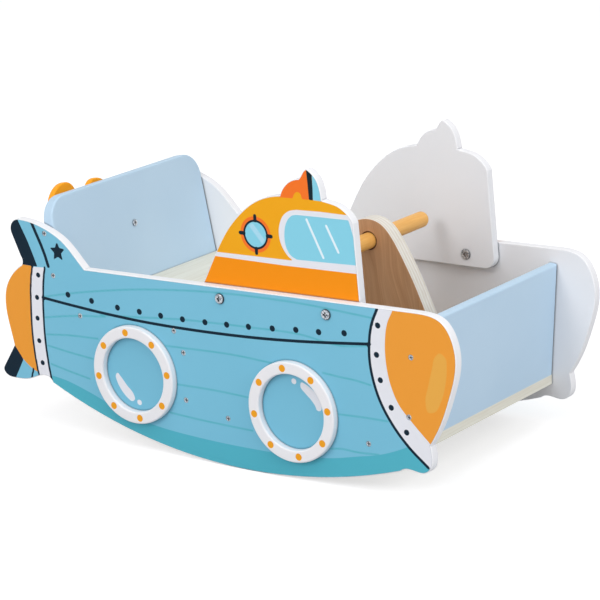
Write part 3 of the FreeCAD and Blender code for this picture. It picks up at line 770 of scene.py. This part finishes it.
hull_film = printed("hull_print", hull_ground, [
    ("keel", ink(82, 177, 196), 1.0, 0.4),
    ("plank", ink(86, 177, 193), 0.95, 0.9),
    ("white", ink(229, 230, 237), 1.0, None),
    ("orange", ink(237, 156, 56), 1.0, None),
    ("shine", ink(232, 170, 74), 1.0, 0.5),
    ("dark", ink(8, 34, 50), 1.0, None),
])
cabin_film = printed("cabin_print", dome_ground, [
    ("band", ink(245, 145, 8), 1.0, None),
    ("white", ink(229, 230, 237), 1.0, None),
    ("red", ink(244, 117, 38), 1.0, None),
    ("glass", ink(135, 208, 229), 1.0, None),
    ("gleam", ink(176, 220, 240), 0.8, 1.2),
    ("glare", ink(228, 242, 250), 1.0, None),
    ("dark", ink(10, 34, 44), 1.0, None),
])
for sheets, film, slot in ((hull_sheets, hull_film, "hull_print"),
                           (cabin_sheets, cabin_film, "cabin_print")):
    for thing in sheets:
        thing.data.materials.clear()
        thing.data.materials.append(film.material)

# %% [markdown]
# ## Floor, light and camera
# A photo studio gives soft light from all round and a little more from the
# front left. The floor is white to the camera where it is fully lit, and keeps
# the toy's soft shadow. The world is white to the camera and to reflections,
# and dimmer as a light.

# %% The studio
def studio_floor(size=14.0):
    """A level square under the rockers, white where nothing shades it."""
    half = size / 2
    mesh = bpy.data.meshes.new("studio_floor")
    corners = [(-half, -half, 0), (half, -half, 0), (half, half, 0), (-half, half, 0)]
    mesh.from_pydata(corners, [], [(0, 1, 2, 3)])
    floor = bpy.data.objects.new("studio_floor", mesh)
    bpy.context.scene.collection.objects.link(floor)
    paint = Finish("white_studio_floor", Base_Color=(0.62, 0.62, 0.63, 1.0), Roughness=0.9,
                   Specular_IOR_Level=0.0, Emission_Color=(1.0, 1.0, 1.0, 1.0))
    seen = paint.node("ShaderNodeLightPath", output="Is Camera Ray")
    paint.tree.links.new((seen * 0.6).socket, paint.shader.inputs["Emission Strength"])
    mesh.materials.append(paint.material)


def soft_lamp(name, place, target, size, power):
    """A square area lamp turned towards a target, its power in watts."""
    lamp = bpy.data.lights.new(name, "AREA")
    lamp.size = size
    lamp.energy = power
    thing = bpy.data.objects.new(name, lamp)
    bpy.context.scene.collection.objects.link(thing)
    thing.location = place
    thing.rotation_euler = (Vector(target) - Vector(place)).to_track_quat("-Z", "Y").to_euler()


studio_floor()
toy_middle = (0.0, 0.0, 0.15)
soft_lamp("key_lamp", (-0.5, -3.6, 2.2), toy_middle, size=1.1, power=34.0)
soft_lamp("front_lamp", (3.4, -0.6, 2.2), toy_middle, size=2.4, power=55.0)
soft_lamp("high_lamp", (0.4, -2.0, 3.6), toy_middle, size=3.4, power=54.0)
world = bpy.data.worlds.new("studio")
bpy.context.scene.world = world
world.use_nodes = True
background = world.node_tree.nodes["Background"]
background.inputs["Color"].default_value = (1.0, 1.0, 1.0, 1.0)
path = world.node_tree.nodes.new("ShaderNodeLightPath")
strength = world.node_tree.nodes.new("ShaderNodeMapRange")
lit_from_all_round = 0.54
strength.inputs["To Min"].default_value = lit_from_all_round
strength.inputs["To Max"].default_value = 1.0
either = world.node_tree.nodes.new("ShaderNodeMath")
either.operation = "MAXIMUM"
world.node_tree.links.new(path.outputs["Is Camera Ray"], either.inputs[0])
world.node_tree.links.new(path.outputs["Is Glossy Ray"], either.inputs[1])
world.node_tree.links.new(either.outputs[0], strength.inputs["Value"])
world.node_tree.links.new(strength.outputs[0], background.inputs["Strength"])

# %% [markdown]
# The camera stands off the bow on the right side, a little above the toy, with
# a long lens. Its place is given in the drawn frame, and its three turns are a
# heading, a downward tilt and a slight roll.

# %% The camera
def camera_axes(heading, tilt, roll):
    """The camera's right, up and backward directions from three angles in degrees."""
    heading, tilt, roll = (math.radians(angle) for angle in (heading, tilt, roll))
    ahead = np.array([math.cos(tilt) * math.cos(heading), math.cos(tilt) * math.sin(heading),
                      math.sin(tilt)])
    right = np.cross(ahead, [0, 0, 1])
    right /= np.linalg.norm(right)
    up = np.cross(right, ahead)
    turned_right = math.cos(roll) * right + math.sin(roll) * up
    turned_up = math.cos(roll) * up - math.sin(roll) * right
    return np.column_stack([turned_right, turned_up, -ahead])


camera = bpy.data.cameras.new("studio_camera")
camera.lens = 165.5
camera.sensor_width = 36.0
camera.shift_x = -0.0021
camera.clip_end = 60.0
stand = bpy.data.objects.new("studio_camera", camera)
bpy.context.scene.collection.objects.link(stand)
turn = camera_axes(heading=126.09, tilt=-15.49, roll=-2.66)
camera_place = np.array([1.95406, -2.66451, 1.08174]) + drawn_zero
pose = np.vstack([np.column_stack([turn, camera_place]), [0, 0, 0, 1]])
stand.matrix_world = Matrix(pose.tolist())
bpy.context.scene.camera = stand
bpy.context.scene.view_settings.view_transform = "Standard"
